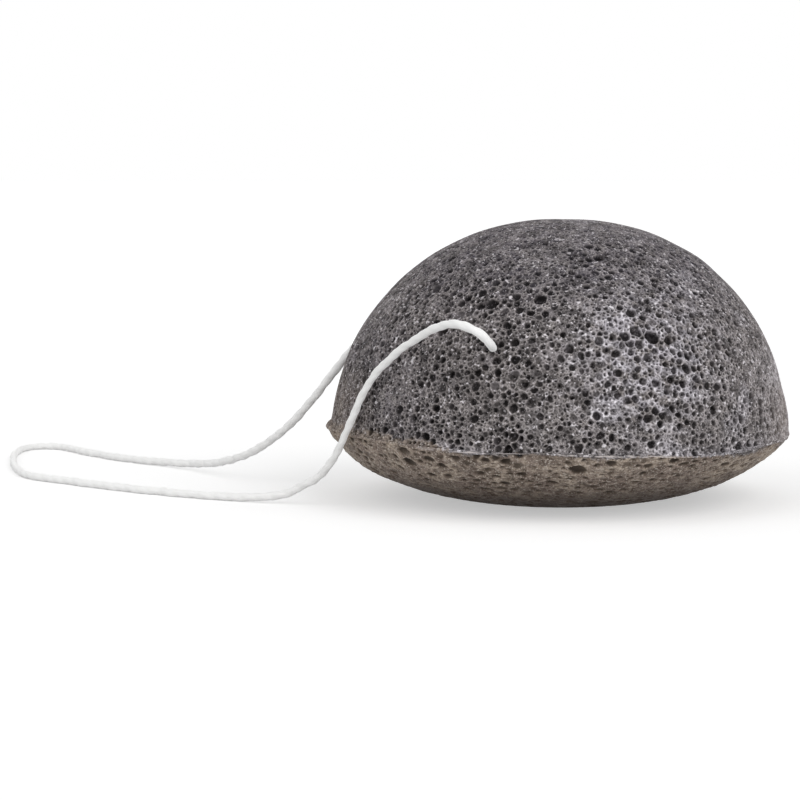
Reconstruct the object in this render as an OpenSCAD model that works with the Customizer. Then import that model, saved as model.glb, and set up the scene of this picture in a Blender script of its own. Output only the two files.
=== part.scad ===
// Konjac sponge: a moulded half ball of plant-fibre foam with a cotton hanging loop.
// The axis of the half ball is Z, its flat foot stands on Z = 0, and the string's channel runs along Y.

/* [Foam half ball] */
// Diameter over the thin flash ring, the widest place
flash_d = 80; // [70:1:90]
// How far the flash ring stands out from the foam
flash_w = 0.7; // [0.4:0.1:1.5]
// Thickness of the flash ring where it leaves the foam
flash_t = 1; // [0.6:0.1:2]
// Thickness of the flash ring at its edge
flash_edge_t = 0.4; // [0.2:0.1:0.6]
// Height of the dome, from the middle of the flash ring to the crown
dome_h = 36.8; // [32:0.2:42]
// How full the dome is sideways, 2 being an ellipse
dome_side_power = 2.25; // [1.8:0.05:2.8]
// How full the dome is upwards, 2 being an ellipse
dome_up_power = 1.85; // [1.6:0.05:2.4]
// Depth of the belly, from the middle of the flash ring down to the foot
belly_h = 11.6; // [8:0.2:16]
// How full the belly is sideways
belly_side_power = 1.95; // [1.6:0.05:2.6]
// How full the belly is downwards
belly_down_power = 1.4; // [1.2:0.05:2.2]
// Diameter of the flat foot that the sponge stands on
foot_d = 22; // [12:1:40]

/* [String channel] */
// Distance of the channel from the axis of the half ball
channel_off = 13; // [6:0.5:18]
// Height of the channel above the foot
channel_z = 28.5; // [22:0.5:34]
// Clearance all round between the string and the channel
channel_gap = 0.06; // [0.03:0.01:0.1]

/* [Cotton string] */
// Diameter of the string
string_d = 1.4; // [1:0.1:2]
// Length of string that stands straight out of the foam before the loop begins
string_lead = 1.4; // [1:0.1:3]
// Diameter of the knot that is drawn into the middle of the foam
knot_d = 4.2; // [3.4:0.1:6]
// Length of the knot along the channel
knot_len = 6; // [4:0.2:9]
// Clearance all round between the knot and its pocket in the foam
knot_gap = 0.35; // [0.3:0.05:0.8]

/* [Hidden] */

flash_r = flash_d / 2;
rim_r = flash_r - flash_w;
foot_r = foot_d / 2;
string_r = string_d / 2;
knot_half = knot_len / 2;
bore_r = string_r + channel_gap;
overrun = 2;
round_fn = 64;

// Straight stretches of the outline
dome_steps = 44;
belly_steps = 26;
knot_steps = 24;

// Half width of the dome at a height above the foot
function dome_r(z) =
    rim_r * pow(1 - pow((z - belly_h) / dome_h, dome_up_power), 1 / dome_side_power);

// Distance from the middle plane to the foam's surface where the channel comes out
mouth_y = sqrt(pow(dome_r(channel_z), 2) - pow(channel_off, 2));
run_reach = mouth_y + string_lead;

// A quarter of a rounded curve, from the side (0 degrees) to the pole (90 degrees)
function quarter(side, pole, side_power, pole_power, from, to, steps) =
    [for (k = [0 : steps])
        let (a = from + (to - from) * k / steps)
        [side * pow(max(cos(a), 0), 2 / side_power), pole * pow(sin(a), 2 / pole_power)]];

// The angle at which such a curve has risen by a given height
function angle_at(rise, pole, pole_power) = asin(pow(rise / pole, pole_power / 2));

dome_start = angle_at(flash_t / 2, dome_h, dome_up_power);
belly_start = angle_at(flash_t / 2, belly_h, belly_down_power);

dome_curve = [for (p = quarter(rim_r, dome_h, dome_side_power, dome_up_power, dome_start, 90, dome_steps))
    [p[0], belly_h + p[1]]];

belly_curve = [for (p = quarter(rim_r - foot_r, belly_h, belly_side_power, belly_down_power,
        90, belly_start, belly_steps))
    [foot_r + p[0], belly_h - p[1]]];

flash_edge = [
    [flash_r, belly_h - flash_edge_t / 2],
    [flash_r, belly_h + flash_edge_t / 2]
];

// Half outline of the foam, from the middle of the foot round to the crown
foam_outline = concat([[0, 0]], belly_curve, flash_edge, dome_curve);

// Half outline of a knot that swells from the string's own radius, grown all round by a gap
function knot_outline(gap) =
    concat(
        [[0, -knot_half - gap]],
        [for (k = [0 : knot_steps])
            let (a = -90 + 180 * k / knot_steps)
            [string_r + gap + (knot_d / 2 - string_r) * cos(a), (knot_half + gap) * sin(a)]],
        [[0, knot_half + gap]]);

// Places its children on the channel, with their Z axis along Y
module on_channel() {
    translate([-channel_off, 0, channel_z])
        rotate([-90, 0, 0])
            children();
}

// The foam: one moulding, pierced by the channel, with the pocket that the knot lies in
module sponge_body() {
    color("#4d4a49")
        difference() {
            rotate_extrude($fn = 2 * round_fn)
                polygon(foam_outline);
            on_channel()
                cylinder(h = flash_d + overrun, r = bore_r, center = true, $fn = round_fn);
            on_channel()
                rotate_extrude($fn = round_fn)
                    polygon(knot_outline(knot_gap));
        }
}

// A straight run of string from the knot to just outside the foam, side -1 in front and 1 behind
module channel_run(side) {
    color("#e9e7e2")
        on_channel()
            translate([0, 0, side > 0 ? knot_half : -run_reach])
                cylinder(h = run_reach - knot_half, r = string_r, $fn = round_fn);
}

module string_front_run() {
    channel_run(-1);
}

module string_back_run() {
    channel_run(1);
}

// The knot that joins the two ends of the string inside the foam
module string_knot() {
    color("#e2dfd8")
        on_channel()
            rotate_extrude($fn = round_fn)
                polygon(knot_outline(0));
}

// Sides of the loop's tube, and rings along each stretch between two points of its route
tube_sides = 8;
rings_per_stretch = 2;

// Length that the string keeps straight outside the foam, as a share of its diameter
straight_share = 2.5;
bend_reach = run_reach + straight_share * string_d;

// The route of the free loop. It leaves the front mouth, climbs over the dome's left side,
// drops past the flash ring, runs out over the table, turns, comes back, rises in one free sag
// to the dome's far side and enters the back mouth.
ROUTE = [
    [-channel_off, -run_reach, channel_z],
    [-channel_off, -bend_reach, channel_z],
    [-13.5, -41, 29.5],
    [-16, -42, 32],
    [-20, -38.5, 33],
    [-24, -32.5, 30.5],
    [-28, -27.5, 27.5],
    [-32, -23.5, 23.5],
    [-34.5, -20.5, 18.5],
    [-36.5, -18.5, 13.5],
    [-38.5, -15.5, 8.5],
    [-42, -12, 4.5],
    [-46.5, -9, 1.5],
    [-54, -7, string_r],
    [-65, -1, string_r],
    [-77, 7, string_r],
    [-88, 17.5, string_r],
    [-95, 23, string_r],
    [-99.5, 31, string_r],
    [-102.5, 44, string_r],
    [-103, 57, string_r],
    [-104.5, 66.5, string_r],
    [-103.5, 74, string_r],
    [-97, 75, string_r],
    [-92.5, 66.5, string_r],
    [-83.5, 53.5, string_r],
    [-72.5, 44.5, 0.8],
    [-64, 35, 1.5],
    [-57, 23.5, 4],
    [-51.5, 17, 7.5],
    [-46.5, 13, 12],
    [-42, 11, 17.5],
    [-37.6, 12.5, 23.5],
    [-32.5, 19.5, 28.5],
    [-26.5, 28, 31.5],
    [-20.5, 38, 33],
    [-16, 42, 32],
    [-13.5, 41, 29.5],
    [-channel_off, bend_reach, channel_z],
    [-channel_off, run_reach, channel_z]
];

last = len(ROUTE) - 1;
guides = concat([2 * ROUTE[0] - ROUTE[1]], ROUTE, [2 * ROUTE[last] - ROUTE[last - 1]]);

// A point of the smooth curve that four neighbouring guides pull between them
function drawn(a, b, c, d, t) =
    (pow(1 - t, 3) * a
        + (3 * pow(t, 3) - 6 * pow(t, 2) + 4) * b
        + (1 + 3 * t + 3 * pow(t, 2) - 3 * pow(t, 3)) * c
        + pow(t, 3) * d) / 6;

loop_path = concat(
    [for (i = [0 : last - 1], k = [0 : rings_per_stretch - 1])
        drawn(guides[i], guides[i + 1], guides[i + 2], guides[i + 3], k / rings_per_stretch)],
    [ROUTE[last]]);

rings = len(loop_path);

function unit(v) = v / norm(v);

// Direction of the string at a ring; the two end rings are square to the channel
function heading(i) =
    i == 0 ? unit(ROUTE[1] - ROUTE[0])
    : i == rings - 1 ? unit(ROUTE[last] - ROUTE[last - 1])
    : unit(loop_path[i + 1] - loop_path[i - 1]);

// One ring of the tube, with a flat underneath
function ring(i) =
    let (
        along = heading(i),
        side = unit(cross(along, [0, 0, 1])),
        up = cross(side, along)
    )
    [for (k = [0 : tube_sides - 1])
        let (a = 360 * (k + 0.5) / tube_sides)
        loop_path[i] + string_r * (cos(a) * side + sin(a) * up)];

tube_points = [for (i = [0 : rings - 1]) each ring(i)];

tube_faces = concat(
    [[for (k = [0 : tube_sides - 1]) k]],
    [for (i = [0 : rings - 2], k = [0 : tube_sides - 1])
        let (a = i * tube_sides + k, b = i * tube_sides + (k + 1) % tube_sides)
        each [[a, a + tube_sides, b], [b, a + tube_sides, b + tube_sides]]],
    [[for (k = [tube_sides - 1 : -1 : 0]) (rings - 1) * tube_sides + k]]);

function sum_up(list, i = 0) = i < len(list) ? list[i] + sum_up(list, i + 1) : 0;

function path_length(p) = sum_up([for (i = [1 : len(p) - 1]) norm(p[i] - p[i - 1])]);

// The free loop, one unbroken tube from mouth to mouth
module string_loop() {
    color("#efedea")
        polyhedron(points = tube_points, faces = tube_faces);
    echo(str("Free loop of string: ", round(path_length(loop_path)), " mm"));
}

sponge_body();
string_front_run();
string_back_run();
string_knot();
string_loop();
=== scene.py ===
# %% [markdown]
# # Konjac sponge with a cotton hanging string
# A konjac sponge is a half ball of plant-root foam. The root's starch is whipped with water and
# charcoal, set in a two-part mould, frozen, thawed and dried. It dries hard, like pumice, and
# every bubble that met the mould is an open cell in its skin.
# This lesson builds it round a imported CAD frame: the camera, the string, the foam with its
# open cells, the finishes, and a small white studio. Lengths are in millimetres unless their
# name ends in `_M`, because a sponge is a thing one measures with a ruler.

import math

import bmesh
import bpy
import numpy as np
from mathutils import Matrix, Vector
from mathutils.kdtree import KDTree


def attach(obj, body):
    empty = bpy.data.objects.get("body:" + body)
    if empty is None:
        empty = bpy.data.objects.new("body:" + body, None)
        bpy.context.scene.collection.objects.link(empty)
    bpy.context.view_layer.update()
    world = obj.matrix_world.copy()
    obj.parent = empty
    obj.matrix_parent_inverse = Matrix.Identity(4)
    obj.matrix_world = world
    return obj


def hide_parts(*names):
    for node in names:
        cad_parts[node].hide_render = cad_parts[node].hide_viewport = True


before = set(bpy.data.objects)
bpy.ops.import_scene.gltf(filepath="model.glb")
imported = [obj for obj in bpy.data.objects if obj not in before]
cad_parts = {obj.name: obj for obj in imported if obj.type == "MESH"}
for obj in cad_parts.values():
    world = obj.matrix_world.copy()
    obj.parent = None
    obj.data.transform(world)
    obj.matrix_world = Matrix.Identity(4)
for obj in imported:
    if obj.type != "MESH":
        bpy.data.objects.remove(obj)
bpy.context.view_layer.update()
MM = 0.001
print("CAD nodes:", sorted(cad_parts))

# %% [markdown]
# ## Camera
# The sponge is seen from just above the table, from straight in front of the string's hole and a
# little to its left. A short lens close by would make the front bulge. A long lens far away
# keeps the outline of the half ball nearly as a side drawing shows it.

# %% Camera
LENS, FILM_WIDTH = 109.0, 36.0
CAMERA_AT_M = (-0.02768, -0.41824, 0.05532)
LOOKS_DOWN = 5.24

camera_data = bpy.data.cameras.new("studio_camera")
camera_data.lens = LENS
camera_data.sensor_width = FILM_WIDTH
camera_data.sensor_fit = "HORIZONTAL"
camera_data.clip_start = 0.01
camera = bpy.data.objects.new("studio_camera", camera_data)
camera.location = CAMERA_AT_M
camera.rotation_euler = (math.radians(90 - LOOKS_DOWN), 0, 0)
bpy.context.scene.collection.objects.link(camera)
bpy.context.scene.camera = camera
print("camera at", tuple(round(x, 4) for x in camera.location))

# %% [markdown]
# ## Unevenness and soft borders
# Nothing on a soft foam or a cotton string is quite even, and nothing starts or stops at a sharp
# line. A handful of sine waves in random directions makes a smooth unevenness of a chosen size,
# the same in every run. A ramp and a hill give the soft borders.

# %% Smooth noise, ramp and hill
def waves(points, wavelength, seed, count=14):
    """Smooth noise, mostly between -1 and 1, with about this wavelength."""
    dice = np.random.default_rng(seed)
    way = dice.normal(size=(count, 3))
    way /= np.linalg.norm(way, axis=1)[:, None]
    way *= 2 * math.pi / (wavelength * dice.uniform(0.75, 1.35, (count, 1)))
    phase = dice.uniform(0, 2 * math.pi, count)
    total = np.zeros(len(points))
    for w, p in zip(way, phase, strict=True):
        total += np.sin(points @ w + p)
    return total * 1.3 / math.sqrt(count)


def ramp(x, low, high):
    """0 below low, 1 above high, and smooth between."""
    t = np.clip((x - low) / (high - low), 0, 1)
    return t * t * (3 - 2 * t)


def hill(x, middle, width, power=2):
    """1 at the middle, falling off to both sides; a higher power makes a flatter top."""
    return np.exp(-(((x - middle) / width) ** power))


# %% [markdown]
# ## The route of the string
# The free loop leaves the foam in front, climbs over the left side of the dome, lies on the table,
# turns, and comes back to the far side. A physics run could drop it there, but not in just the
# lie that it has. Here guide points pull a smooth curve between them as a clamped cubic B-spline
# does, so there are no kinks, and its two ends leave square to the foam.

# %% Guide points of the free loop
CHANNEL_X, CHANNEL_Z = -13.0, 28.5
STRING_R = 0.7
MOUTH_Y = 32.3324
RUN_REACH = MOUTH_Y + 1.4
BEND_REACH = RUN_REACH + 2.5 * 2 * STRING_R

ROUTE = np.array([
    (CHANNEL_X, -RUN_REACH, CHANNEL_Z), (CHANNEL_X, -BEND_REACH, CHANNEL_Z),
    (-13.5, -41, 29.5), (-16, -42, 32), (-20, -38.5, 33), (-24, -32.5, 30.5),
    (-28, -27.5, 27.5), (-32, -23.5, 23.5), (-34.5, -20.5, 18.5), (-36.5, -18.5, 13.5),
    (-38.5, -15.5, 8.5), (-42, -12, 4.5), (-46.5, -9, 1.5), (-54, -7, STRING_R),
    (-65, -1, STRING_R), (-77, 7, STRING_R), (-88, 17.5, STRING_R), (-95, 23, STRING_R),
    (-99.5, 31, STRING_R), (-102.5, 44, STRING_R), (-103, 57, STRING_R),
    (-104.5, 66.5, STRING_R), (-103.5, 74, STRING_R), (-97, 75, STRING_R),
    (-92.5, 66.5, STRING_R), (-83.5, 53.5, STRING_R), (-72.5, 44.5, 0.8), (-64, 35, 1.5),
    (-57, 23.5, 4), (-51.5, 17, 7.5), (-46.5, 13, 12), (-42, 11, 17.5),
    (-37.6, 12.5, 23.5), (-32.5, 19.5, 28.5), (-26.5, 28, 31.5), (-20.5, 38, 33),
    (-16, 42, 32), (-13.5, 41, 29.5), (CHANNEL_X, BEND_REACH, CHANNEL_Z),
    (CHANNEL_X, RUN_REACH, CHANNEL_Z),
])
print(len(ROUTE), "guide points")


# %% A smooth line with even steps
LINE_STEP = 0.25


def smooth_curve(guides, per_stretch):
    """Points of a cubic B-spline that starts and ends on the first and last guide."""
    first, last = 2 * guides[0] - guides[1], 2 * guides[-1] - guides[-2]
    g = np.vstack([first, guides, last])
    t = np.arange(per_stretch)[:, None] / per_stretch
    weights = [
        (1 - t) ** 3,
        3 * t**3 - 6 * t**2 + 4,
        1 + 3 * t + 3 * t**2 - 3 * t**3,
        t**3,
    ]
    drawn = [
        sum(w * g[i + k] for k, w in enumerate(weights)) / 6 for i in range(len(guides) - 1)
    ]
    return np.vstack(drawn + [guides[-1:]])


def lengths_along(points):
    """Distance from the first point to each, along the line."""
    steps = np.linalg.norm(np.diff(points, axis=0), axis=1)
    return np.concatenate([[0], np.cumsum(steps)])


def even_steps(points, step):
    """The same line with its points an even step apart."""
    along = lengths_along(points)
    count = max(2, round(along[-1] / step)) + 1
    at = np.linspace(0, along[-1], count)
    return np.column_stack([np.interp(at, along, points[:, k]) for k in range(3)])


loop_line = even_steps(smooth_curve(ROUTE, 40), LINE_STEP)
print(len(loop_line), "points on the loop")

# %% [markdown]
# ## How the string strays from its route
# Soft cotton never lies in a fair curve. It wavers by a tenth or two of a millimetre, more where it
# lies on the table than where its own weight pulls it straight, and not at all where it turns back
# at the loop's far end, which is bent tight. Just before that bend the strand bows in and
# out by half a millimetre. Smooth noise added to the line's points gives the first, and two hills
# give the second.

# %% Waver of the loop
BENT_AT = 162.0
WAVER, WAVER_ON_TABLE = 0.03, 0.10

loop_along = lengths_along(loop_line)
depth = loop_line[:, 1]
lift = loop_line[:, 2]
waver = np.column_stack([
    waves(loop_line, 5.5, seed) + 0.5 * waves(loop_line, 2.6, seed + 3) for seed in (71, 72, 73)
])
waver *= (WAVER + WAVER_ON_TABLE * ramp(lift, 8, 2))[:, None]
waver *= (ramp(loop_along, 3, 12) * ramp(loop_along[-1] - loop_along, 3, 12))[:, None]
waver *= (1 - hill(loop_along, BENT_AT, 30, 4))[:, None]
waver[:, 2] *= ramp(lift, STRING_R, 4)
bowed = 0.45 * hill(depth, 36, 9) - 0.7 * hill(depth, 58, 8)
waver[:, 0] += bowed * ramp(loop_line[:, 0], -92, -98)
loop_line = loop_line + waver

# %% [markdown]
# ## The string itself
# It is a soft cotton string of two plies, twisted so that its outline swells every 2.8 mm.
# A round curve bevel would be as smooth as plastic. Here a flat grid is rolled round the line, and
# its section has two lobes with a groove between them that turn with the distance along it.

# %% Section of a two-ply string
PLY_PITCH = 5.6
STRETCHED_AT = 40.0
STRING_SIDES = 28


def ply_radius(angle, along):
    """The string's radius at an angle round it and a distance along it."""
    turn = angle - math.pi * 2 * along / PLY_PITCH
    lobes = 0.875 + 0.175 * np.abs(np.cos(turn)) ** 0.8
    # hand-thick and hand-thin, as spun cotton is
    soft = 1 + 0.05 * np.sin(along * 0.83 + 1.0) * np.sin(along * 0.29)
    soft += 0.03 * np.sin(along * 1.31 + 2.0) * np.sin(along * 0.43 + angle)
    soft += 0.02 * np.sin(along * 2.9 + 3 * angle)
    # thinner where it is pulled tight: over the dome, round the far bend and out of the foam
    soft -= 0.14 * hill(along, STRETCHED_AT, 22, 4)
    soft -= 0.10 * hill(along, BENT_AT, 20, 4)
    soft -= 0.10 * hill(along, 0, 7)
    return STRING_R * lobes * soft


def frames_along(line):
    """Two directions square to the line at each point, carried along it without twist."""
    ahead = np.gradient(line, axis=0)
    ahead /= np.linalg.norm(ahead, axis=1)[:, None]
    side = np.zeros_like(line)
    start = np.cross(ahead[0], (0, 0, 1.0))
    side[0] = start / np.linalg.norm(start)
    for i in range(1, len(line)):
        s = side[i - 1] - ahead[i] * np.dot(side[i - 1], ahead[i])
        side[i] = s / np.linalg.norm(s)
    return side, np.cross(ahead, side)


# %% Roll a grid into a string
def string_piece(name, line, tip_from=None):
    """A closed mesh of string along a line, with its UV map running along and round it.

    From tip_from onwards it narrows to a round tip.
    """
    side, up = frames_along(line)
    along = lengths_along(line)
    rings = len(line) - 1
    bm = bmesh.new()
    bm.loops.layers.uv.new("StringUV")
    bmesh.ops.create_grid(
        bm, x_segments=rings, y_segments=STRING_SIDES, size=0.5, calc_uvs=True
    )
    for v in bm.verts:
        i = round((v.co.x + 0.5) * rings)
        angle = (v.co.y + 0.5) * 2 * math.pi
        r = ply_radius(angle, along[i])
        if tip_from is not None:
            into_tip = max(0, (along[i] - tip_from) / (along[-1] - tip_from))
            r *= math.sqrt(max(0.04, 1 - into_tip**2))
        v.co = MM * (line[i] + r * (math.cos(angle) * side[i] + math.sin(angle) * up[i]))
    bmesh.ops.remove_doubles(bm, verts=bm.verts, dist=1e-6)
    rims = [e for e in bm.edges if e.is_boundary]
    for e in rims:
        e.smooth = False
    bmesh.ops.holes_fill(bm, edges=rims, sides=0)
    for f in bm.faces:
        f.smooth = True
    bmesh.ops.recalc_face_normals(bm, faces=bm.faces)
    mesh = bpy.data.meshes.new(name)
    bm.to_mesh(mesh)
    bm.free()
    piece = bpy.data.objects.new(name, mesh)
    bpy.context.scene.collection.objects.link(piece)
    print(f"{name}: {along[-1]:.1f} mm long, {len(mesh.polygons)} faces")
    return piece


cotton_loop = string_piece("cotton_loop", loop_line)

# %% [markdown]
# ## The knot inside
# The string's two ends meet in the middle of the foam in a fisherman's knot: each end is wound
# twice round the other, and pulling the loop slides the two coils together. One swelling would
# do, since nobody sees it, but it is what keeps the string from pulling out. So each end gets its
# straight run and its coil, and each is one piece of string with a round tip.

# %% Threaded ends with their coils
KNOT_HALF = 3.0
COIL_FROM = 0.7
COIL_R = 1.4
COIL_TURNS = 1.85
COIL_STEPS = 90
RUN_STEPS = 120
RUN_ENDS_AT = 0.9
TIP_LENGTH = 0.7


def threaded_end(side):
    """The line from just outside the foam to the tail of the coil. side is -1 in front, 1 behind."""
    run = np.linspace(side * RUN_REACH, side * RUN_ENDS_AT, RUN_STEPS)
    straight = [(CHANNEL_X, y, CHANNEL_Z) for y in run]
    coil = []
    for k in range(COIL_STEPS + 1):
        t = k / COIL_STEPS
        # the coil opens over its first seventh
        swing = min(1, t * 7)
        r = COIL_R * swing * swing * (3 - 2 * swing)
        a = side * (math.pi / 2 + 2 * math.pi * COIL_TURNS * t)
        y = side * (COIL_FROM - (KNOT_HALF + 0.1) * t)
        coil.append((CHANNEL_X + r * math.cos(a), y, CHANNEL_Z + r * math.sin(a)))
    return even_steps(np.array(straight + coil), LINE_STEP)


ends = []
for end_name, side in (("threaded_end_front", -1), ("threaded_end_back", 1)):
    end_line = threaded_end(side)
    ends.append(string_piece(end_name, end_line, lengths_along(end_line)[-1] - TIP_LENGTH))
front_end, back_end = ends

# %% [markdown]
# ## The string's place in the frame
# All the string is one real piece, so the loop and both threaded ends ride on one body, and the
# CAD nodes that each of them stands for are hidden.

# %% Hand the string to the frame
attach(cotton_loop, "string")
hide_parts("string_loop")
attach(front_end, "string")
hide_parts("string_front_run", "string_knot")
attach(back_end, "string")
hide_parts("string_back_run")

# %% [markdown]
# ## The outline of the foam
# The foam is a body of revolution: a flat foot, a shallow belly, the thin flash ring where the two
# halves of the mould met, and a full dome. Circles would be too plain for it and a drawn curve
# too uneven. Superellipse quarters, the same as the CAD's, are full at the side and round on top.

# %% Outline of the foam, from the middle of the foot round to the crown
FLASH_R, RIM_R, FOOT_R = 40.0, 39.3, 11.0
BELLY_H, DOME_H = 11.6, 36.8
FLASH_EDGE = 0.2
OUTLINE_STEP = 0.04
# fullness sideways, fullness upwards, angle at which the quarter starts
DOME_CURVE = (2.25, 1.85, 0.019)
BELLY_CURVE = (1.95, 1.4, 0.11)


def quarter(side, pole, side_power, pole_power, start, steps=600):
    """A rounded quarter curve from near the side up to the pole."""
    a = np.linspace(start, math.pi / 2, steps)
    r = side * np.clip(np.cos(a), 0, None) ** (2 / side_power)
    return np.column_stack([r, pole * np.sin(a) ** (2 / pole_power)])


dome = quarter(RIM_R, DOME_H, *DOME_CURVE) + (0, BELLY_H)
belly = quarter(RIM_R - FOOT_R, BELLY_H, *BELLY_CURVE) * (1, -1) + (FOOT_R, BELLY_H)
flash = np.array([(FLASH_R, BELLY_H - FLASH_EDGE), (FLASH_R, BELLY_H + FLASH_EDGE)])
corners = np.vstack([[(0, 0)], belly[::-1], flash, dome])

outline_along = lengths_along(corners)
outline_s = np.arange(0, outline_along[-1], OUTLINE_STEP)
outline_r = np.interp(outline_s, outline_along, corners[:, 0])
outline_z = np.interp(outline_s, outline_along, corners[:, 1])
FLASH_S = float(outline_s[np.argmax(outline_r)])
print(f"outline {outline_s[-1]:.1f} mm from foot to crown, flash ring at {FLASH_S:.1f} mm")

# %% [markdown]
# ## A dense, even skin
# The cells are sunk into the skin as real hollows, and that needs small triangles of one size
# everywhere. A spun outline would crowd them at the poles. An icosphere has them even: each point
# keeps its direction round the axis, and its height on the ball is turned into a distance
# along the outline, so that equal areas stay equal. The thin flash ring gets more of them.

# %% Icosphere
SKIN_DIVISIONS = 9

bm = bmesh.new()
bmesh.ops.create_icosphere(bm, subdivisions=SKIN_DIVISIONS, radius=1.0)
skin = bpy.data.meshes.new("konjac_half_ball")
bm.to_mesh(skin)
bm.free()
count = len(skin.vertices)
ball = np.empty(count * 3)
skin.vertices.foreach_get("co", ball)
ball = ball.reshape(-1, 3)
ball /= np.linalg.norm(ball, axis=1)[:, None]
print(f"skin of {count} points and {len(skin.polygons)} triangles")

# %% Spread it over the outline
# s is a point's distance along the outline from the foot, r and z are its place there
CROWDING, CROWD_WIDTH = 0.9, 1.3

closer = 1 + CROWDING * hill(outline_s, FLASH_S, CROWD_WIDTH)
share = np.cumsum(outline_r * closer)
share = (share - share[0]) / (share[-1] - share[0])
s = np.interp((1 + ball[:, 2]) / 2, share, outline_s)
r = np.interp(s, outline_s, outline_r)
z = np.interp(s, outline_s, outline_z)
turn = np.arctan2(ball[:, 1], ball[:, 0])
around = np.column_stack([np.cos(turn), np.sin(turn), np.zeros(count)])
base = around * r[:, None]
base[:, 2] = z

slope_r, slope_z = np.gradient(outline_r), np.gradient(outline_z)
slope = np.hypot(slope_r, slope_z)
soften = np.ones(25) / 25
out_r = np.convolve(slope_z / slope, soften, "same")
out_z = np.convolve(-slope_r / slope, soften, "same")
outward = around * np.interp(s, outline_s, out_r)[:, None]
outward[:, 2] = np.interp(s, outline_s, out_z)
outward /= np.linalg.norm(outward, axis=1)[:, None]
print("smooth box", base.min(0).round(2), base.max(0).round(2))

# %% [markdown]
# ## Zones of the skin
# The real skin is not the same all over. The dome has the open cells, smaller towards the crown.
# Closed patches have few of them. A pale, frost-like film, partly a painted sheen, lies mostly on the
# right of the front, and on the left the belly's closed skin climbs over the flash ring. Each zone is
# a share from 0 to 1 on every point, so that it can steer both the cells and the colours.

# %% Where each zone is
side_x, height = base[:, 0], base[:, 2]
in_front = base[:, 1] < 0
on_dome = s > FLASH_S
from_flash = np.abs(s - FLASH_S)
crown_share = ramp(height, 24, 46) * on_dome
near_top = ramp(height, 40, 46)
leftness = ramp(-side_x, 18, 26)
patchy = waves(base, 9.0, 3)

closed = ramp(patchy, 1.0, 1.8) * (1 - crown_share)
closed = np.maximum(closed, 0.85 * leftness * ramp(s - FLASH_S, 3.4, 1.8)) * on_dome

# the pale frost-like film, partly a painted sheen, strongest on the right of the front
sheen_at_right_front = hill(side_x, 12, 10) * hill(height, 27, 10) * in_front
right_rim = hill(side_x, 22, 14) * hill(from_flash, 0, 1.6) * in_front
left_rim = hill(side_x, -19, 6) * hill(from_flash, 0, 1.3) * in_front
right_end = ramp(side_x, 29, 37) * ramp(height, 30, 20)
frost_and_sheen = sheen_at_right_front * (0.66 + 0.5 * waves(base, 2.2, 4) + 0.25 * waves(base, 0.9, 5))
frost_and_sheen += 0.5 * ramp(patchy, 0.4, 1.8) * ramp(side_x, -12, 6) * (1 - 0.7 * crown_share)
frost_and_sheen += 0.6 * right_rim + 0.5 * left_rim + 0.4 * right_end
frost_and_sheen = np.clip(frost_and_sheen, 0, 1) * (s > FLASH_S - 0.8)
print(f"closed skin on {closed.mean():.0%} of the surface, frost on {frost_and_sheen.mean():.0%}")

# %% [markdown]
# ## Where the cells are
# Bubbles of many sizes lie side by side: a few of 2 mm, many of 1 mm, and small ones in the gaps.
# A Voronoi pattern would make them all of one kind, with corners. Here they are placed largest first
# on random points of the skin that are still free, the way a bag of marbles fills when the big
# ones go in first. Each point remembers how deep it is inside its nearest bubble and how far it is
# from the next one, which gives the thin walls between them.

# %% The space in which bubbles are round
# The belly's cells are drawn out round the axis: they are placed on a narrower cone, where
# distances along the outline are kept and distances round the axis are shorter. A little
# noise bends that space, so that no cell is a perfect circle.
BELLY_NARROW = 0.68
# how far the noise moves a point, its wavelength, its first seed
BENDS = [(0.08, 1.9, 11), (0.022, 0.8, 14)]

cone_step = np.sqrt(np.clip(slope**2 - (BELLY_NARROW * slope_r) ** 2, 0, None))
cone = around * (BELLY_NARROW * r)[:, None]
cone[:, 2] = np.interp(s, outline_s, np.cumsum(cone_step)) - 200
bent = np.where(on_dome[:, None], base, cone)
for amount, wavelength, seed in BENDS:
    bent += amount * np.column_stack([waves(base, wavelength, seed + k) for k in range(3)])
tree = KDTree(count)
for i, p in enumerate(bent):
    tree.insert(p, i)
tree.balance()
print("widest place of the belly's cone", round(2 * BELLY_NARROW * FLASH_R, 1), "mm")

# %% Sizes of the bubbles, and where none may be
# radius from, radius to, tries, gap, share that goes deep, reach, share wanted on dome, closed, belly
CELL_SIZES = [
    (0.78, 1.00, 14000, 0.20, 0.75, 1.2, 0.009, 0.006, 0.004),
    (0.56, 0.78, 30000, 0.05, 0.65, 1.0, 0.080, 0.015, 0.036),
    (0.40, 0.58, 70000, 0.00, 0.55, 0.8, 0.180, 0.020, 0.065),
    (0.26, 0.40, 160000, -0.03, 0.50, 0.65, 0.24, 0.05, 0.055),
    (0.16, 0.25, 300000, -0.02, 0.45, 0.45, 0.40, 0.10, 0.030),
]
FOOT_KEPT, FLASH_KEPT, MOUTH_KEPT = 9, 0.35, 0.95
FAR_AWAY = 9.0
CROWN_SMALLER, TOP_SMALLER, BELLY_SIZE = 0.05, 0.22, 0.95

patches = 1 + 0.16 * waves(base, 13, 51)
dome_size = 1.0 - CROWN_SMALLER * crown_share - TOP_SMALLER * near_top
size_here = patches * np.where(on_dome, dome_size, BELLY_SIZE)
from_channel = np.hypot(base[:, 0] - CHANNEL_X, base[:, 2] - CHANNEL_Z)
kept_free = (from_flash < FLASH_KEPT) | ((s < FOOT_KEPT) & ~on_dome)
kept_free |= from_channel < MOUTH_KEPT
print(f"{kept_free.mean():.1%} of the skin is kept free of cells")

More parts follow.
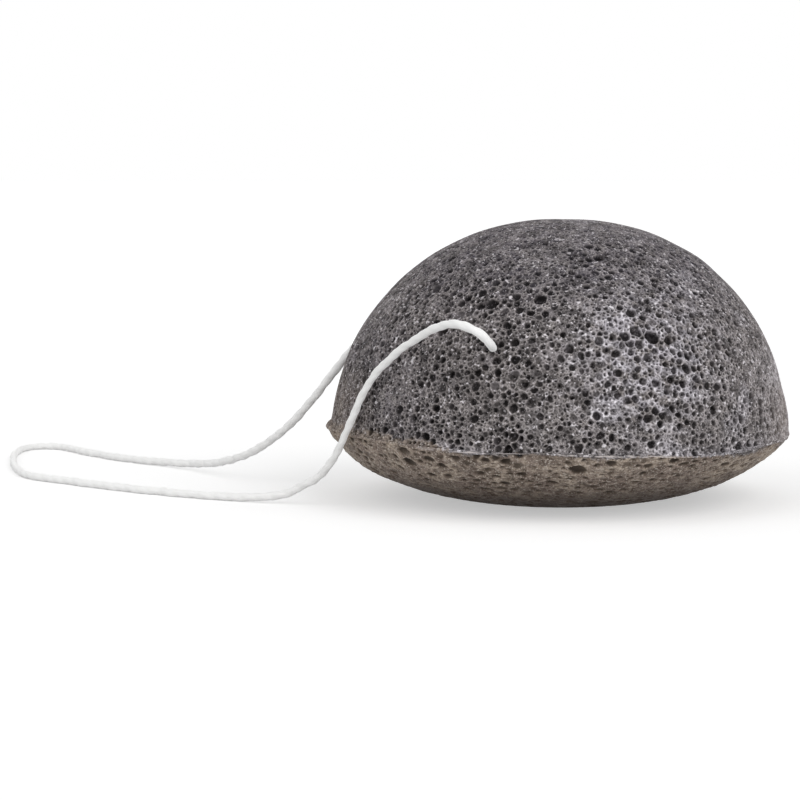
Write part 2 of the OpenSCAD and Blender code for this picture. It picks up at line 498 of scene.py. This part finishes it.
# %% Bubbles, largest first
dice = np.random.default_rng(21)
order = dice.permutation(count)
near = np.full(count, FAR_AWAY)
second = np.full(count, FAR_AWAY)
owner = np.full(count, -1)
cell_r, cell_deep, cell_at = [], [], []
used = 0
for low, high, tries, gap, deep, reach, want_dome, want_closed, want_belly in CELL_SIZES:
    wanted = np.where(on_dome, want_dome * (1 - closed) + want_closed * closed, want_belly)
    picks = order[np.arange(used, used + tries) % count]
    used += tries
    radii = dice.uniform(low, high, tries) * size_here[picks]
    chance = dice.random(tries) < wanted[picks]
    goes_deep = dice.random(tries) < deep
    made = 0
    for v, radius, take, is_deep in zip(picks, radii, chance, goes_deep, strict=True):
        at_flash = from_flash[v] < 0.8 * radius
        if not take or near[v] < radius + gap or kept_free[v] or at_flash:
            continue
        found = tree.find_range(bent[v], radius + reach)
        at = np.fromiter((i for _, i, _ in found), int, len(found))
        far = np.fromiter((d for _, _, d in found), float, len(found)) - radius
        closer_now = far < near[at]
        second[at] = np.minimum(second[at], np.where(closer_now, near[at], far))
        near[at] = np.where(closer_now, far, near[at])
        owner[at[closer_now]] = len(cell_r)
        cell_r.append(radius)
        cell_deep.append(is_deep)
        cell_at.append(v)
        made += 1
    print(f"cells {2 * low:.2f} to {2 * high:.2f} mm across: {made}")

cell_r, cell_deep, cell_at = np.array(cell_r), np.array(cell_deep), np.array(cell_at)
cells = len(cell_r)

# %% [markdown]
# ## How deep the cells are
# On the real skin about half the cells open into the bubble behind them and look black, and the
# others are shallow bowls that still catch light. Some shallow ones have a small, deeper window,
# where their wall broke through. A displacement map could only guess at that, so each cell
# gets its own depth here, deeper on one side, and its own painted shade for the finish to use.

# %% How deep each point sinks
GROWN = 0.07
HALF_WALL = 0.05
DEEP_BOWL, SHALLOW_BOWL = (0.9, 1.7), (0.28, 0.6)
DEEP_SHADE, SHALLOW_SHADE = (0.65, 1.0), (0.25, 0.55)
BELLY_DEPTH, BELLY_SHADE = 0.5, 0.98

inside = np.minimum(GROWN - near, (second - near) / 2 - HALF_WALL)
inside[owner < 0] = -1
inside[kept_free] = -1
own_r = np.where(owner >= 0, cell_r[owner], 1.0)

lean = dice.normal(size=(cells, 3))
lean /= np.linalg.norm(lean, axis=1)[:, None]
across = np.einsum("ij,ij->i", base - base[cell_at[owner]], lean[owner]) / own_r
tilt = 1 + 0.45 * np.clip(across, -1, 1)
cell_depth = np.where(
    cell_deep, dice.uniform(*DEEP_BOWL, cells), dice.uniform(*SHALLOW_BOWL, cells)
)
bowl = np.clip(inside / own_r, 0, 1)
sunk = cell_depth[owner] * own_r * tilt * np.sqrt(1 - (1 - bowl) ** 2) * (inside > 0)
sunk *= np.where(on_dome, 1.0, BELLY_DEPTH)

# painted shade in each cell, darker in the deep ones and towards its floor
cell_shade = np.where(
    cell_deep, dice.uniform(*DEEP_SHADE, cells), dice.uniform(*SHALLOW_SHADE, cells)
)
rim_width = np.where(on_dome, 0.19, 0.38)
painted_cell_shade = cell_shade[owner] * ramp((inside + 0.03) / rim_width, 0, 1) * np.clip(tilt, 0.7, 1.15)
painted_cell_shade *= (owner >= 0) * np.where(on_dome, 1.0, BELLY_SHADE)
print(f"{cell_deep.mean():.0%} of the cells are deep")

# %% Windows in the shallow cells
SMALLEST_WITH_WINDOW = 0.34
WITHOUT_WINDOW = 0.35

windows = 0
for c in np.flatnonzero(~cell_deep & (cell_r > SMALLEST_WITH_WINDOW)):
    if dice.random() < WITHOUT_WINDOW:
        continue
    middle = bent[cell_at[c]] + lean[c] * dice.uniform(0.2, 0.5) * cell_r[c]
    radius = cell_r[c] * dice.uniform(0.3, 0.55)
    extra = dice.uniform(0.5, 1.1)
    for _, i, d in tree.find_range(middle, radius):
        if owner[i] == c and inside[i] > 0:
            round_off = math.sqrt(1 - (d / radius) ** 2)
            sunk[i] = max(sunk[i], extra * round_off + 0.3 * cell_r[c])
            # more painted shade in the window
            painted_cell_shade[i] = max(painted_cell_shade[i], min(1, 0.4 + 0.8 * round_off))
    windows += 1
print(f"{cells} cells, {windows} windows, deepest {sunk.max():.2f} mm")

# %% [markdown]
# ## The small faults of a casting
# No half ball comes out of its mould perfect. The outline swells and sinks by a quarter of a
# millimetre and leans a little to the right with height. The flash ring is torn to different
# widths and climbs to the left, where it stands out as a small wedge. Drag marks run round the
# belly, from turning the mould off. Sculpting would lose the even mesh, so short tables and waves
# move the points.

# %% Faults of the outline, read off the photograph's silhouette
def eased(x, at, values, width):
    """A value read off a short table, with its corners rounded over a width."""
    grid = np.linspace(at[0], at[-1], 401)
    window = np.ones(max(1, round(400 * width / (at[-1] - at[0]))))
    before = len(window) // 2
    drawn = np.pad(np.interp(grid, at, values), (before, len(window) - 1 - before), "edge")
    return np.interp(x, grid, np.convolve(drawn, window / len(window), "valid"))


# height, sideways lean, fullness all round
OUTLINE_FAULTS = np.array([
    (0, -0.43, -0.43), (3, -0.50, -0.30), (5, -0.56, -0.24), (7, -0.65, -0.06),
    (8.5, -0.75, -0.06), (10, -0.65, 0.12), (13, -0.10, -0.02), (20, -0.15, 0.02),
    (26, -0.05, 0.28), (31, 0.12, 0.15), (36, 0.35, -0.20), (41, 0.50, -0.15),
    (48.4, 0.50, 0.0),
])
# place from left to right, rise of the flash ring
FLASH_RISE = np.array([
    (-40, 1.15), (-30, 1.05), (-21, 0.87), (-14, 0.30), (-3, 0.45),
    (4, 0.17), (13, -0.17), (20, -0.40), (27, -0.05), (40, 0.0),
])
leaning = eased(height, OUTLINE_FAULTS[:, 0], OUTLINE_FAULTS[:, 1], 3)
fuller = eased(height, OUTLINE_FAULTS[:, 0], OUTLINE_FAULTS[:, 2], 3) * ramp(r, 2, 12)
rise = eased(side_x, FLASH_RISE[:, 0], FLASH_RISE[:, 1], 6) * hill(from_flash, 0, 5)
rise += 0.22 * waves(around * 10, 8, 43) * hill(from_flash, 0, 4)
swell = (0.13 * waves(base, 26, 31) + 0.05 * waves(base, 9, 32)) * (1 - 0.7 * ramp(height, 41, 48))
swell = (swell - 0.13 * ramp(height, 40, 48)) * ramp(height, 0, 6)
print(f"lean {leaning.min():.2f} to {leaning.max():.2f} mm")
print(f"flash ring rises {rise.min():.2f} to {rise.max():.2f} mm")

# %% The torn flash ring
LIP_OUT = 0.60

ring = hill(from_flash, 0, 0.9, 4)
left_lip = hill(math.pi - np.abs(turn), 0, 0.3)
right_lip = hill(turn, 0, 0.12)
crumbly = ramp(side_x, 14, 24)
torn = 0.36 + 0.16 * waves(around * 10, 9, 41) + 0.24 * waves(around * 10, 0.7, 42) * (1 - left_lip)
torn *= 1 - 0.7 * np.clip(leftness + crumbly, 0, 1) * (1 - left_lip)
torn = np.clip(torn * (1 - 0.75 * left_lip) + 0.45 * right_lip, 0.04, 1.1)
over_lip = s - FLASH_S
wedge = np.clip(1 - np.where(over_lip > 0, over_lip / 0.9, -over_lip / 3.8), 0, 1)
lip_out = LIP_OUT * left_lip * wedge
print(f"flash ring is {torn.min():.0%} to {torn.max():.0%} of its full width")

# %% Drag marks and crumbs
DRAG_NARROW = 0.42
DRAG_HEIGHT, CRUMB_HEIGHT, GRAIN_HEIGHT = 0.03, 0.07, 0.025

drag_cone = around * (DRAG_NARROW * r)[:, None]
drag_cone[:, 2] = s
drag = waves(drag_cone, 0.8, 61) + 0.6 * waves(drag_cone, 1.9, 62)
on_belly = ramp(s - FLASH_S, 0.0, -1.0)
crumbs = waves(base, 0.55, 63) * hill(from_flash, 0, 1.1) * ramp(side_x, -25, 20)
rough = DRAG_HEIGHT * drag * on_belly * ramp(height, 0, 2) + CRUMB_HEIGHT * crumbs
grain = GRAIN_HEIGHT * np.random.default_rng(5).random(count)
print(f"drag marks and crumbs stand out by up to {rough.max():.2f} mm")

# %% Move the skin
moved = base + outward * (swell + rough - sunk - grain)[:, None]
flash_out = np.clip(r - RIM_R, 0, None) * (torn - 1) * ring
moved[:, :2] += around[:, :2] * (flash_out + lip_out + fuller)[:, None]
moved[:, 0] += leaning
moved[:, 2] += rise
moved[:, 2] = np.maximum(moved[:, 2], 0)
skin.vertices.foreach_set("co", (moved * MM).ravel())
print("box", moved.min(0).round(2), moved.max(0).round(2))

# %% [markdown]
# ## What the skin tells its finish
# Paint goes where the shape is: painted shade in the cells, pale on the thin walls, tan on the belly,
# and painted shade on the top and the left flank. A texture could not know where each cell lies, so
# the shares are written on the points of the mesh as attributes, which the material reads.

# %% Shares on the points of the skin
tan_to = 2.7 * leftness + 0.6 * waves(around * 10, 3.5, 44) + 0.25 * waves(base, 0.9, 45) - 0.7
tan_ends = 0.35 * ramp(np.abs(side_x), 30, 38) * ramp(height, 27, 16)
tan_belly = ramp(s - FLASH_S - tan_to, 0.5, -0.4) * (1 - 0.25 * leftness * on_dome)
broken = ramp(waves(around * 10, 1.9, 46) + 0.6 * waves(base, 0.8, 47), -0.8, 0.7)
edge_at = s - FLASH_S - 0.12 - 0.08 * waves(around * 10, 0.9, 48)
edge_width = np.clip(0.16 + 0.09 * waves(around * 10, 0.6, 49), 0.08, 0.28)

SHARES = {
    "painted_cell_shade": painted_cell_shade,
    "wall": hill(inside, -0.02, 0.09) * (owner >= 0) * ~kept_free,
    "frost_and_sheen": frost_and_sheen,
    "belly": np.maximum(tan_belly, tan_ends),
    # painted shade: darker and cooler on the top and, less, on the left flank
    "crown": np.maximum(crown_share, 0.6 * ramp(-side_x, 10, 34)),
    "flash_edge": hill(edge_at, 0, edge_width) * broken * (1 - leftness) * (1 - crumbly),
    "drag": 0.5 + 0.25 * drag,
}
for name, values in SHARES.items():
    layer = skin.attributes.new(name, "FLOAT", "POINT")
    layer.data.foreach_set("value", values.astype(np.float32))
    print(f"{name}: {values.mean():.2f} on average")

# %% [markdown]
# ## A map for the skin
# Whoever bakes the finish onto a picture needs the skin laid flat. Automatic unwrapping would cut
# it into hundreds of islands. The dome and the belly become two round discs, like the two
# hemispheres of an old world map, at one scale.

# %% Two discs, the dome's and the belly's
loop_at = np.empty(len(skin.loops), np.int64)
skin.loops.foreach_get("vertex_index", loop_at)
flash_z = 2 * float(np.interp(FLASH_S, outline_s, share)) - 1
mid_z = ball[loop_at, 2].reshape(-1, 3).mean(1)
to_dome = np.repeat(mid_z > flash_z, 3)
pole = np.where(to_dome, ball[loop_at, 2], -ball[loop_at, 2])
spread = np.sqrt(2 * np.clip(1 - pole, 0, None))
flat = around[loop_at, :2] * spread[:, None]
dome_disc, belly_disc = math.sqrt(2 * (1 - flash_z)), math.sqrt(2 * (1 + flash_z))
unit = 0.985 / ((dome_disc + belly_disc) * (1 + math.sqrt(0.5)))
disc_middle = np.where(to_dome, 0.006 + dome_disc * unit, 0.994 - belly_disc * unit)
uv_layer = skin.uv_layers.new(name="OFBake")
uv_layer.data.foreach_set("uv", (disc_middle[:, None] + flat * unit).astype(np.float32).ravel())
print(f"dome disc {2 * dome_disc * unit:.2f} of the map, belly disc {2 * belly_disc * unit:.2f}")

# %% [markdown]
# ## The string's channel
# The string is drawn through the finished foam, so its hole goes right through, and it is wider in
# the middle, where the knot has pushed the foam aside. A Boolean on this dense skin would be slow
# and leave slivers. Instead, the skin's triangles inside the two mouths are taken out, one
# profile is turned round the channel's axis, and bridges join it to the two rims.

# %% Open the two mouths
BORE_R = 0.8
POCKET_R, POCKET_HALF = 2.45, 3.5
BORE_SIDES = 32
BORE_REACH = MOUTH_Y - 1.2

bm = bmesh.new()
bm.from_mesh(skin)
bm.verts.ensure_lookup_table()
to_axis = np.hypot(moved[:, 0] - CHANNEL_X, moved[:, 2] - CHANNEL_Z)
in_mouths = {bm.verts[i] for i in np.flatnonzero(to_axis < BORE_R)}
rims = {e.other_vert(v) for v in in_mouths for e in v.link_edges} - in_mouths
bmesh.ops.delete(bm, geom=list(in_mouths), context="VERTS")
for v in rims:
    off_x, off_z = v.co.x - MM * CHANNEL_X, v.co.z - MM * CHANNEL_Z
    pull = MM * BORE_R / math.hypot(off_x, off_z)
    v.co.x, v.co.z = MM * CHANNEL_X + pull * off_x, MM * CHANNEL_Z + pull * off_z
print(len(rims), "points round the two mouths")

# %% Turn the channel
# the spin leaves edges and faces in an order that changes from run to run, so they are numbered
# by their points, and the points by their places
def number_of(part):
    """One number for an edge or a face, made of its points' numbers."""
    number = 0
    for index in sorted(v.index for v in part.verts):
        number = 10000 * number + index
    return number


profile = [(y, BORE_R) for y in np.linspace(-BORE_REACH, -POCKET_HALF - 2, 12)]
for a in np.linspace(-math.pi / 2, math.pi / 2, 17):
    wider = (POCKET_R - BORE_R) * max(0, math.cos(a)) ** 0.4
    profile.append((POCKET_HALF * math.sin(a), BORE_R + wider))
profile += [(y, BORE_R) for y in np.linspace(POCKET_HALF + 2, BORE_REACH, 12)]

tube = bmesh.new()
line = [tube.verts.new((MM * (CHANNEL_X + r_at), MM * y, MM * CHANNEL_Z)) for y, r_at in profile]
line_edges = [tube.edges.new(pair) for pair in zip(line, line[1:], strict=False)]
bmesh.ops.spin(
    tube, geom=line + line_edges, cent=(MM * CHANNEL_X, 0, MM * CHANNEL_Z), axis=(0, 1, 0),
    angle=2 * math.pi, steps=BORE_SIDES, use_merge=True,
)
bmesh.ops.triangulate(tube, faces=tube.faces)
for number, v in enumerate(sorted(tube.verts, key=lambda v: tuple(v.co))):
    v.index = number
tube.verts.sort()
for parts in (tube.edges, tube.faces):
    parts.sort(key=number_of)
channel_wall = bpy.data.meshes.new("channel_wall")
tube.to_mesh(channel_wall)
tube.free()
bm.from_mesh(channel_wall)
print(len(channel_wall.polygons), "faces in the turned channel")
bpy.data.meshes.remove(channel_wall)

# %% Join it to the mouths
open_edges = [e for e in bm.edges if e.is_boundary]
for behind in (False, True):
    two_rims = [e for e in open_edges if (e.verts[0].co.y > 0) == behind]
    joined = bmesh.ops.bridge_loops(bm, edges=two_rims)
    print(f"{len(two_rims)} open edges closed with {len(joined['faces'])} faces")
bm.to_mesh(skin)
bm.free()

# %% Lay the channel's wall on the map, beside the discs
points = np.empty(3 * len(skin.vertices))
skin.vertices.foreach_get("co", points)
points = points.reshape(-1, 3) / MM
to_axis = np.hypot(points[:, 0] - CHANNEL_X, points[:, 2] - CHANNEL_Z)
deep_in = np.abs(points[:, 1]) < BORE_REACH + 0.01
in_channel = (to_axis < 1.001 * BORE_R) | ((to_axis < POCKET_R + 0.01) & deep_in)

loop_at = np.empty(len(skin.loops), np.int64)
skin.loops.foreach_get("vertex_index", loop_at)
faces_in = in_channel[loop_at].reshape(-1, 3).all(1)
wall_corners = points[loop_at].reshape(-1, 3, 3)[faces_in]
angle = np.arctan2(wall_corners[:, :, 2] - CHANNEL_Z, wall_corners[:, :, 0] - CHANNEL_X)
angle = angle[:, :1] + (angle - angle[:, :1] + math.pi) % (2 * math.pi) - math.pi
laid = np.empty(2 * len(skin.loops))
uv_layer = skin.uv_layers["OFBake"]
uv_layer.data.foreach_get("uv", laid)
laid = laid.reshape(-1, 3, 2)
laid[faces_in, :, 0] = 0.86 + 0.0018 * wall_corners[:, :, 1]
laid[faces_in, :, 1] = 0.06 + 0.012 * angle
uv_layer.data.foreach_set("uv", laid.ravel())
print(f"{faces_in.sum()} faces in the channel, {len(skin.polygons)} in all")

# %% Finish the foam piece
SHADE_IN_CHANNEL = 0.8

# painted shade on the channel's wall
darkness = np.empty(len(points))
painted_cell_shade_layer = skin.attributes["painted_cell_shade"]
painted_cell_shade_layer.data.foreach_get("value", darkness)
darkness[in_channel] = SHADE_IN_CHANNEL
painted_cell_shade_layer.data.foreach_set("value", darkness.astype(np.float32))
skin.polygons.foreach_set("use_smooth", np.ones(len(skin.polygons), bool))
skin.update()
foam = bpy.data.objects.new("konjac_half_ball", skin)
bpy.context.scene.collection.objects.link(foam)
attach(foam, "sponge")
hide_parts("sponge_body")

# %% [markdown]
# ## Tools for the finishes
# Colours are written as sRGB hex, the way a paint shop notes them, and one function turns them
# linear. One small function adds a node with its settings and what feeds it. The foam's
# colours are laid over each other in many thin coats, each through its own mask, so laying
# one coat is a function too.

# %% Colours, nodes and coats
WHITE = (1.0, 1.0, 1.0, 1.0)


def tone(hex_code):
    """An sRGB hex colour as linear RGBA."""
    parts = [int(hex_code[i : i + 2], 16) / 255 for i in (1, 3, 5)]
    return [c / 12.92 if c <= 0.04045 else ((c + 0.055) / 1.055) ** 2.4 for c in parts] + [1.0]


def add(tree, kind, feeds=(), **settings):
    """A node with its settings; each feed is an input and the socket or value that it gets."""
    node = tree.nodes.new(kind)
    for name, value in settings.items():
        setattr(node, name, value)
    for into, source in feeds:
        if isinstance(source, bpy.types.NodeSocket):
            tree.links.new(source, node.inputs[into])
        else:
            node.inputs[into].default_value = source
    return node


def new_finish(name, looks):
    """A material whose Principled shader has these looks, each an input and its value."""
    finish = bpy.data.materials.new(name)
    finish.use_nodes = True
    tree = finish.node_tree
    tree.nodes.clear()
    shader = add(tree, "ShaderNodeBsdfPrincipled", looks)
    add(tree, "ShaderNodeOutputMaterial", [(0, shader.outputs[0])])
    return finish, tree, shader


def coat(tree, under, over, *masks):
    """Lays one tone over another, as thick as its masks say when multiplied.

    A mask is a socket, or a socket with where it starts and ends and the shares there.
    """
    thickness = None
    for mask in masks:
        if isinstance(mask, tuple):
            ranged = add(
                tree, "ShaderNodeMapRange", list(enumerate(mask)), interpolation_type="SMOOTHSTEP"
            )
            mask = ranged.outputs[0]
        if thickness is None:
            thickness = mask
        else:
            both = add(tree, "ShaderNodeMath", [(0, thickness), (1, mask)], operation="MULTIPLY")
            thickness = both.outputs[0]
    mixed = add(tree, "ShaderNodeMix", [(0, thickness), (6, under), (7, over)], data_type="RGBA")
    return mixed.outputs[2]


# %% [markdown]
# ## Dried konjac foam, dyed with charcoal
# The foam is dried starch jelly with charcoal powder in it, set in a mould and never polished. It is
# matt and not quite black: charcoal grey between the cells, pale on the thin walls and on a
# frost-like film, with painted highlight and sheen there, brown and smoother on the belly, darker on
# the top and the left flank and near black in the cells, where shade is painted. One noise would look
# like stone. Here each of these has its own grain size and its own coat.

# %% Grains and shares that the coats read
# grain in millimetres, detail, roughness
GRAINS = {
    "fine": (0.4, 3.0, 0.7),
    "middle": (1.6, 2.0, 0.5),
    "broad": (5.0, 3.0, 0.6),
    "glint": (0.3, 1.0, 0.5),
    "fleck": (0.7, 1.0, 0.5),
    "blotch": (2.3, 1.0, 0.5),
}

foam_looks = [("Roughness", 0.65), ("IOR", 1.45), ("Specular IOR Level", 0.22)]
finish_foam, t, foam_shader = new_finish("dried_charcoal_konjac_foam", foam_looks)
place = add(t, "ShaderNodeTexCoord").outputs["Object"]
tall = add(t, "ShaderNodeSeparateXYZ", [(0, place)]).outputs[2]
grains = {}
for name, (size, detail, roughness) in GRAINS.items():
    feeds = [
        ("Vector", place), ("Scale", 1 / (MM * size)), ("Detail", detail), ("Roughness", roughness),
    ]
    grains[name] = add(t, "ShaderNodeTexNoise", feeds).outputs[0]
shares = {}
for name in SHARES:
    shares[name] = add(t, "ShaderNodeAttribute", attribute_name=name).outputs["Fac"]
fine, middle_grain, broad, glint, fleck, blotch = grains.values()
painted_cell_shade_in, wall_in, frost_and_sheen_in, belly_in, top_and_left_shade_in, flash_in, drag_in = shares.values()
print(len(grains), "grains and", len(shares), "shares")

# %% Skin between the cells
# darker and paler from grain to grain, pale with frost and its painted sheen, darker and cooler
# with painted shade towards the crown and the left flank, and sooty in broad patches away from the
# frost
frost_and_sheen_tone = coat(t, tone("#5a565a"), tone("#c7c3c9"), (fine, 0.34, 0.64, 0.0, 1.0))
skin_tone = coat(t, tone("#3f3b3a"), tone("#7f7978"), (fine, 0.34, 0.66, 0.0, 1.0))
skin_tone = coat(t, skin_tone, frost_and_sheen_tone, frost_and_sheen_in)
# painted shade, darker and cooler on the top and the left flank
skin_tone = coat(t, skin_tone, tone("#322e3c"), (top_and_left_shade_in, 0.0, 1.0, 0.0, 0.78))
no_frost_or_sheen = add(
    t, "ShaderNodeMath", [(0, 1.0), (1, frost_and_sheen_in)], operation="SUBTRACT", use_clamp=True
)
skin_tone = coat(
    t, skin_tone, tone("#332f30"), (broad, 0.5, 0.62, 0.0, 0.6), no_frost_or_sheen.outputs[0]
)

# %% Thin walls between neighbouring cells
# they are pale, with a painted highlight only in places and less of it towards the crown and the left
# flank
wall_tone = coat(t, tone("#7b7574"), tone("#c0b9b8"), (fine, 0.3, 0.7, 0.0, 1.0))
# the walls in the frost are paler still, partly a painted sheen
wall_tone = coat(t, wall_tone, tone("#e2dde5"), frost_and_sheen_in)
lit_in_places = (middle_grain, 0.36, 0.6, 0.35, 1.0)
# painted shade: less of the painted highlight on the top and the left flank
less_lit_top_and_left = (top_and_left_shade_in, 0.0, 1.0, 1.0, 0.72)
skin_tone = coat(t, skin_tone, wall_tone, wall_in, lit_in_places, less_lit_top_and_left)

# %% Blotches, flecks and glints
# dark and pale blotches, pale flecks, more of them in the frost and its painted sheen, fewer where
# the top is painted in shade, and tiny painted glints
BLOTCHES_AND_FLECKS = [
    ("#2f2b2c", (blotch, 0.35, 0.49, 0.5, 0.0)),
    ("#a09a9d", (blotch, 0.56, 0.68, 0.0, 0.35)),
    ("#e2dde1", (fleck, 0.64, 0.71, 0.0, 0.9), (top_and_left_shade_in, 0.5, 1.0, 1.0, 0.75)),
    ("#f1edf2", (fleck, 0.57, 0.65, 0.0, 0.9), frost_and_sheen_in),
    # painted glints
    ("#e4dfe4", (glint, 0.66, 0.72, 0.0, 0.8)),
]
for colour, *masks in BLOTCHES_AND_FLECKS:
    skin_tone = coat(t, skin_tone, tone(colour), *masks)

# %% The belly's smoother tan skin
# mottled, darker along the drag marks' grooves and paler along their ridges as painted shade and
# highlight, with painted glints, and darkest at the foot with painted shade, where the mask is the
# height in metres, as Object coordinates are
BELLY_COATS = [
    # painted shade in the drag marks' grooves, painted highlight on their ridges
    ("#5d524b", (drag_in, 0.1, 0.55, 0.5, 0.0)),
    ("#b3a99f", (drag_in, 0.7, 1.1, 0.0, 0.45)),
    ("#5f544c", (middle_grain, 0.36, 0.56, 0.55, 0.0)),
    ("#4f4038", (fine, 0.36, 0.56, 0.6, 0.0)),
    # painted glints
    ("#d8cec3", (glint, 0.56, 0.68, 0.0, 0.7)),
    # painted shade towards the foot
    ("#372b26", (tall, 0.002, 0.0082, 0.8, 0.0)),
]
belly_tone = coat(t, tone("#98897f"), tone("#baab9c"), (broad, 0.4, 0.6, 0.0, 1.0))
for colour, mask in BELLY_COATS:
    belly_tone = coat(t, belly_tone, tone(colour), mask)
skin_tone = coat(t, skin_tone, belly_tone, belly_in)
skin_tone = coat(t, skin_tone, tone("#c8c0be"), flash_in)
# a brown tint in the belly's cells, under their painted shade
skin_tone = coat(t, skin_tone, tone("#837463"), painted_cell_shade_in, belly_in)

# %% Painted shade of the cells, and the shader
# painted shade in the cells: the deeper, the darker
CELL_SHADE_STOPS = [(0.35, (0.55, 0.54, 0.54, 1)), (0.65, (0.29, 0.28, 0.28, 1))]
DEEPEST_CELL_SHADE = (0.13, 0.12, 0.125, 1)
BUMP_HEIGHT_M = 0.00015

depths = add(t, "ShaderNodeValToRGB", [(0, painted_cell_shade_in)])
stops = depths.color_ramp.elements
stops[0].color = WHITE
stops[1].color = DEEPEST_CELL_SHADE
for at, colour in CELL_SHADE_STOPS:
    stops.new(at).color = colour
darkened = add(
    t, "ShaderNodeMix", [(0, 1.0), (6, skin_tone), (7, depths.outputs[0])],
    data_type="RGBA", blend_type="MULTIPLY",
)
bump = add(t, "ShaderNodeBump", [("Strength", 0.7), ("Distance", BUMP_HEIGHT_M), ("Height", fine)])
t.links.new(darkened.outputs[2], foam_shader.inputs["Base Color"])
t.links.new(bump.outputs[0], foam_shader.inputs["Normal"])
skin.materials.append(finish_foam)
print(len(t.nodes), "nodes in the foam's finish")

# %% [markdown]
# ## Twisted cotton
# The string is bleached cotton, spun and twisted but not waxed. Light goes a little way into it and
# comes out again beside the shadow, and its loose fibres give it a soft bright edge, so it needs
# some scatter under the surface, a sheen, and hardly any gloss. The plies are real shape. Only
# the fibres are drawn, as long thin grains that follow the string on its own UV map. Real
# ones are too thin to show, so they are drawn coarser, 60 in one turn round the string.

# %% Cotton string
FIBRES_ROUND = 60.0
SCATTER_M = 0.0008

cotton_looks = [
    ("Roughness", 0.9),
    ("Diffuse Roughness", 1.0),
    ("Subsurface Weight", 0.6),
    ("Subsurface Radius", (1.0, 1.0, 1.0)),
    ("Subsurface Scale", SCATTER_M),
    ("Sheen Weight", 0.5),
    ("Sheen Roughness", 0.6),
]
finish_cotton, t, cotton_shader = new_finish("twisted_white_cotton", cotton_looks)
wound = add(t, "ShaderNodeUVMap", uv_map="StringUV").outputs[0]
fibres = add(t, "ShaderNodeTexNoise", [("Vector", wound), ("Scale", FIBRES_ROUND), ("Detail", 2.0)])
cotton_tone = coat(t, tone("#f6f5f3"), tone("#fdfdfc"), (fibres.outputs[0], 0.3, 0.7, 0.0, 1.0))
t.links.new(cotton_tone, cotton_shader.inputs["Base Color"])
for piece in (cotton_loop, front_end, back_end):
    piece.data.materials.append(finish_cotton)

# %% [markdown]
# ## The studio
# A white table that runs out of sight, one large soft lamp on the right, a weaker one on the
# left, and light from all round as in a tent. The table keeps the shadow of the sponge. More
# light would bleach the foam, so the white of the background is added only for rays that see
# it: those of the camera, and reflected and refracted ones.

# %% Rays that see the white of the studio
def seen_directly(tree):
    """1 for camera, glossy and transmission rays, 0 for the light that falls on things."""
    rays = add(tree, "ShaderNodeLightPath").outputs
    seen = rays["Is Camera Ray"]
    for other in (rays["Is Glossy Ray"], rays["Is Transmission Ray"]):
        seen = add(tree, "ShaderNodeMath", [(0, seen), (1, other)], operation="MAXIMUM").outputs[0]
    return seen


# %% Table
TABLE_SIZE_M = 40.0
TABLE_LIFT = 0.45

bm = bmesh.new()
bmesh.ops.create_grid(bm, x_segments=1, y_segments=1, size=TABLE_SIZE_M)
table_mesh = bpy.data.meshes.new("studio_table")
bm.to_mesh(table_mesh)
bm.free()
table = bpy.data.objects.new("studio_table", table_mesh)
bpy.context.scene.collection.objects.link(table)
table_looks = [("Base Color", tone("#dcdcdc")), ("Roughness", 1.0), ("Specular IOR Level", 0.0)]
finish_table, t, table_shader = new_finish("white_table", table_looks)
whiter = add(t, "ShaderNodeMath", [(0, seen_directly(t)), (1, TABLE_LIFT)], operation="MULTIPLY")
glow = add(t, "ShaderNodeEmission", [(0, WHITE), (1, whiter.outputs[0])])
both = add(t, "ShaderNodeAddShader", [(0, table_shader.outputs[0]), (1, glow.outputs[0])])
t.links.new(both.outputs[0], t.nodes["Material Output"].inputs[0])
table_mesh.materials.append(finish_table)
print("table", table_mesh.name, "with", len(table_mesh.polygons), "face")

# %% Lamps
# name, where it stands as seen from the sponge, its width in degrees, its strength
SOFTBOXES = [
    ("key_softbox", (0.65, -0.75, 0.6), 55, 1.35),
    ("fill_softbox", (-0.7, -0.6, 0.5), 60, 0.65),
]
for name, towards, width, strength in SOFTBOXES:
    # a very wide sun lights like a softbox that is far away
    lamp_data = bpy.data.lights.new(name, "SUN")
    lamp_data.angle = math.radians(width)
    lamp_data.energy = strength
    lamp = bpy.data.objects.new(name, lamp_data)
    lamp.rotation_euler = Vector(towards).to_track_quat("Z", "Y").to_euler()
    bpy.context.scene.collection.objects.link(lamp)
    print(name, "from", towards)

# %% World
TENT_LIGHT = 0.5

world = bpy.data.worlds.new("studio_tent")
bpy.context.scene.world = world
world.use_nodes = True
t = world.node_tree
t.nodes.clear()
tent = add(t, "ShaderNodeBackground", [(0, WHITE), (1, TENT_LIGHT)])
white = add(t, "ShaderNodeBackground", [(0, WHITE), (1, 1.0)])
pick = add(t, "ShaderNodeMixShader", [
    (0, seen_directly(t)), (1, tent.outputs[0]), (2, white.outputs[0]),
])
add(t, "ShaderNodeOutputWorld", [(0, pick.outputs[0])])
bpy.context.scene.view_settings.view_transform = "Standard"
